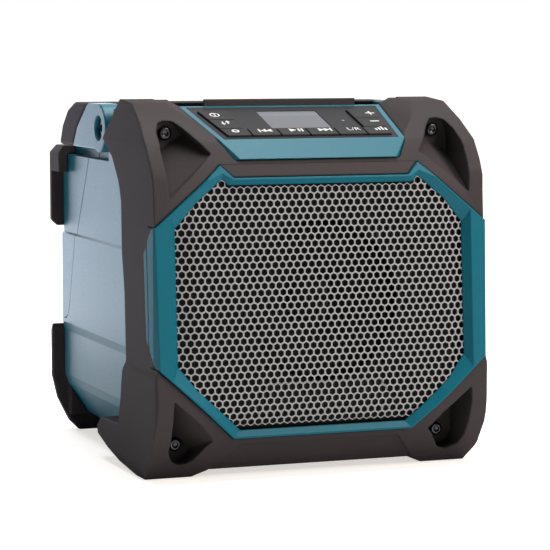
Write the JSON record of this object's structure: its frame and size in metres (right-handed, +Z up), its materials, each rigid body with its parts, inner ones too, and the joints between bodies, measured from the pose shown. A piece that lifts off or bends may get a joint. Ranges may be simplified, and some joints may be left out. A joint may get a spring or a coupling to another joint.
{
  "type": "jobsite speaker",
  "caption": "Jobsite speaker with a leaning perforated front in an eight-sided bezel, rubber corner guards, tilted key panel with display, folding handle and rear battery bay.",
  "frame": {"origin": "on the floor under the middle of the bounding box", "axes": "+X to the right seen from the front, +Y from the grille to the back, +Z up"},
  "size_m": [0.196, 0.218, 0.206],
  "materials": {
    "housing_plastic": "fine satin grain",
    "bumper_rubber": "matt overmoulded elastomer",
    "key_rubber": "satin moulded rubber",
    "black_plastic": "plain moulded",
    "seal_rubber": "soft matt",
    "grille_metal": "light silver paint on perforated sheet",
    "screw_steel": "zinc plated",
    "display_glass": "clear window over a pale display",
    "light_lens": "clear light pipe",
    "circuit_board": "solder resist",
    "cone_paper": "coated paper cone",
    "magnet_iron": "ground ferrite and steel"
  },
  "bodies": {
    "housing": {"main_housing": "housing_plastic", "rear_cover": "housing_plastic", "bezel": "housing_plastic", "panel_surround": "housing_plastic", "front_bumper": "bumper_rubber", "rear_bumper": "bumper_rubber", "baffle": "black_plastic", "display_module": "black_plastic", "battery_terminal": "black_plastic", "power_inlet": "black_plastic", "speaker_frame": "black_plastic", "speaker_gasket": "seal_rubber", "speaker_surround": "seal_rubber", "grille": "grille_metal", "bumper_screws": "screw_steel", "rear_screws": "screw_steel", "speaker_screws": "screw_steel", "handle_pivots": "screw_steel", "door_hinge_pin": "screw_steel", "port_cover_pin": "screw_steel", "usb_socket": "screw_steel", "display_window": "display_glass", "status_light": "light_lens", "keypad_board": "circuit_board", "amplifier_board": "circuit_board", "speaker_magnet": "magnet_iron", "key_plate": "key_rubber"},
    "handle": {"handle_frame": "housing_plastic", "handle_grip": "bumper_rubber"},
    "door": {"battery_door": "bumper_rubber", "door_seal": "seal_rubber"},
    "latch": {"door_latch": "black_plastic"},
    "port_flap": {"port_cover": "seal_rubber"},
    "cone": {"speaker_cone": "cone_paper", "dust_cap": "cone_paper", "voice_coil": "screw_steel"},
    "button_power": {"key_power": "key_rubber"},
    "button_link": {"key_link": "key_rubber"},
    "button_source": {"key_source": "key_rubber"},
    "button_previous": {"key_previous": "key_rubber"},
    "button_play": {"key_play": "key_rubber"},
    "button_next": {"key_next": "key_rubber"},
    "button_channel": {"key_channel": "key_rubber"},
    "button_louder": {"key_louder": "key_rubber"},
    "button_softer": {"key_softer": "key_rubber"},
    "button_mode": {"key_mode": "key_rubber"}
  },
  "joints": [
    {"name": "handle_fold", "type": "hinge", "parent": "housing", "child": "handle", "pos_m": [0, 0.004, 0.1887], "axis": [1, 0, 0], "range_deg": [0, 90]},
    {"name": "door_swing", "type": "hinge", "parent": "housing", "child": "door", "pos_m": [-0.0506, 0.0981, 0.082], "axis": [0, 0, 1], "range_deg": [0, 110]},
    {"name": "latch_slide", "type": "slide", "parent": "door", "child": "latch", "axis": [-1, 0, 0], "range_m": [0, 0.0045], "stiffness_N_per_m": 80},
    {"name": "port_flap_swing", "type": "hinge", "parent": "housing", "child": "port_flap", "pos_m": [0.061, 0.099, 0.1186], "axis": [1, 0, 0], "range_deg": [0, 100]},
    {"name": "cone_travel", "type": "slide", "parent": "housing", "child": "cone", "axis": [0, 0.998, -0.0637], "range_m": [-0.002, 0.002], "stiffness_N_per_m": 900, "deforming": ["speaker_surround"]},
    {"name": "press_power", "type": "slide", "parent": "housing", "child": "button_power", "axis": [0, 0.3123, -0.95], "range_m": [0, 0.001], "stiffness_N_per_m": 250},
    {"name": "press_link", "type": "slide", "parent": "housing", "child": "button_link", "axis": [0, 0.3123, -0.95], "range_m": [0, 0.001], "stiffness_N_per_m": 250},
    {"name": "press_source", "type": "slide", "parent": "housing", "child": "button_source", "axis": [0, 0.3123, -0.95], "range_m": [0, 0.001], "stiffness_N_per_m": 250},
    {"name": "press_previous", "type": "slide", "parent": "housing", "child": "button_previous", "axis": [0, 0.3123, -0.95], "range_m": [0, 0.001], "stiffness_N_per_m": 250},
    {"name": "press_play", "type": "slide", "parent": "housing", "child": "button_play", "axis": [0, 0.3123, -0.95], "range_m": [0, 0.001], "stiffness_N_per_m": 250},
    {"name": "press_next", "type": "slide", "parent": "housing", "child": "button_next", "axis": [0, 0.3123, -0.95], "range_m": [0, 0.001], "stiffness_N_per_m": 250},
    {"name": "press_channel", "type": "slide", "parent": "housing", "child": "button_channel", "axis": [0, 0.3123, -0.95], "range_m": [0, 0.001], "stiffness_N_per_m": 250},
    {"name": "press_louder", "type": "slide", "parent": "housing", "child": "button_louder", "axis": [0, 0.3123, -0.95], "range_m": [0, 0.001], "stiffness_N_per_m": 250},
    {"name": "press_softer", "type": "slide", "parent": "housing", "child": "button_softer", "axis": [0, 0.3123, -0.95], "range_m": [0, 0.001], "stiffness_N_per_m": 250},
    {"name": "press_mode", "type": "slide", "parent": "housing", "child": "button_mode", "axis": [0, 0.3123, -0.95], "range_m": [0, 0.001], "stiffness_N_per_m": 250}
  ]
}
